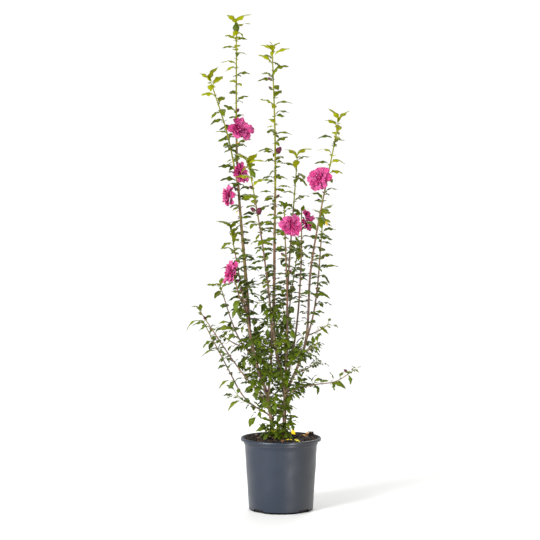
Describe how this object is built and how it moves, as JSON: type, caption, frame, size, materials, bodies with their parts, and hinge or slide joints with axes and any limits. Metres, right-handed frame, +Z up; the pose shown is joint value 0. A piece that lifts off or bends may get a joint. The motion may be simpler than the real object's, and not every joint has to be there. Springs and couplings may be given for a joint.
{
  "type": "hibiscus shrub in a nursery pot",
  "caption": "Upright hibiscus shrub: short trunks, tall slender leafy canes fanning out, double pink blooms on some, growing from bark mix in a round slate-grey nursery pot.",
  "frame": {"origin": "middle of the pot's flat underside", "axes": "+Z up along the pot's axis, -Y the pictured front, +X to its right"},
  "size_m": [0.5858, 0.5079, 1.666],
  "materials": {
    "pot_plastic": "slate grey moulded plastic, softly glossy",
    "potting_mix": "damp composted bark",
    "old_bark": "grey-brown bark with fine cracks",
    "young_bark": "smooth tan to reddish bark",
    "shoot_leaves": "mid-green leaves, satin on top",
    "low_leaves": "darker green leaves of the lower crown",
    "petals": "soft pink petals with deeper centres"
  },
  "bodies": {
    "root": {"bough_back": "young_bark", "bough_back_short": "young_bark", "bough_centre": "young_bark", "bough_left_back": "young_bark", "bough_left_front": "young_bark", "bough_left_low": "young_bark", "bough_left_side": "young_bark", "bough_left_tall": "young_bark", "bough_middle_front": "young_bark", "bough_middle_tall": "young_bark", "bough_right_back": "young_bark", "bough_right_inner": "young_bark", "bough_right_low": "young_bark", "bough_right_tall": "young_bark", "foliage_low_01": "low_leaves", "foliage_low_02": "low_leaves", "foliage_low_03": "low_leaves", "foliage_low_04": "low_leaves", "foliage_low_05": "low_leaves", "foliage_low_06": "low_leaves", "foliage_low_07": "low_leaves", "foliage_low_08": "low_leaves", "foliage_low_09": "low_leaves", "foliage_low_10": "low_leaves", "foliage_low_11": "low_leaves", "foliage_low_12": "low_leaves", "foliage_low_13": "low_leaves", "foliage_low_14": "low_leaves", "foliage_low_15": "low_leaves", "foliage_low_16": "low_leaves", "foliage_low_17": "low_leaves", "foliage_low_18": "low_leaves", "foliage_low_19": "low_leaves", "foliage_low_20": "low_leaves", "foliage_low_21": "low_leaves", "foliage_low_22": "low_leaves", "foliage_low_23": "low_leaves", "foliage_low_24": "low_leaves", "foliage_low_25": "low_leaves", "foliage_low_26": "low_leaves", "foliage_low_27": "low_leaves", "foliage_low_28": "low_leaves", "pot": "pot_plastic", "shoot_back": "shoot_leaves", "shoot_back_short": "shoot_leaves", "shoot_centre": "shoot_leaves", "shoot_left_back": "shoot_leaves", "shoot_left_front": "shoot_leaves", "shoot_left_low": "shoot_leaves", "shoot_left_side": "shoot_leaves", "shoot_left_tall": "shoot_leaves", "shoot_middle_front": "shoot_leaves", "shoot_middle_tall": "shoot_leaves", "shoot_right_back": "shoot_leaves", "shoot_right_inner": "shoot_leaves", "shoot_right_low": "shoot_leaves", "shoot_right_tall": "shoot_leaves", "soil": "potting_mix", "trunk_left": "old_bark", "trunk_right": "old_bark"}
  },
  "joints": []
}
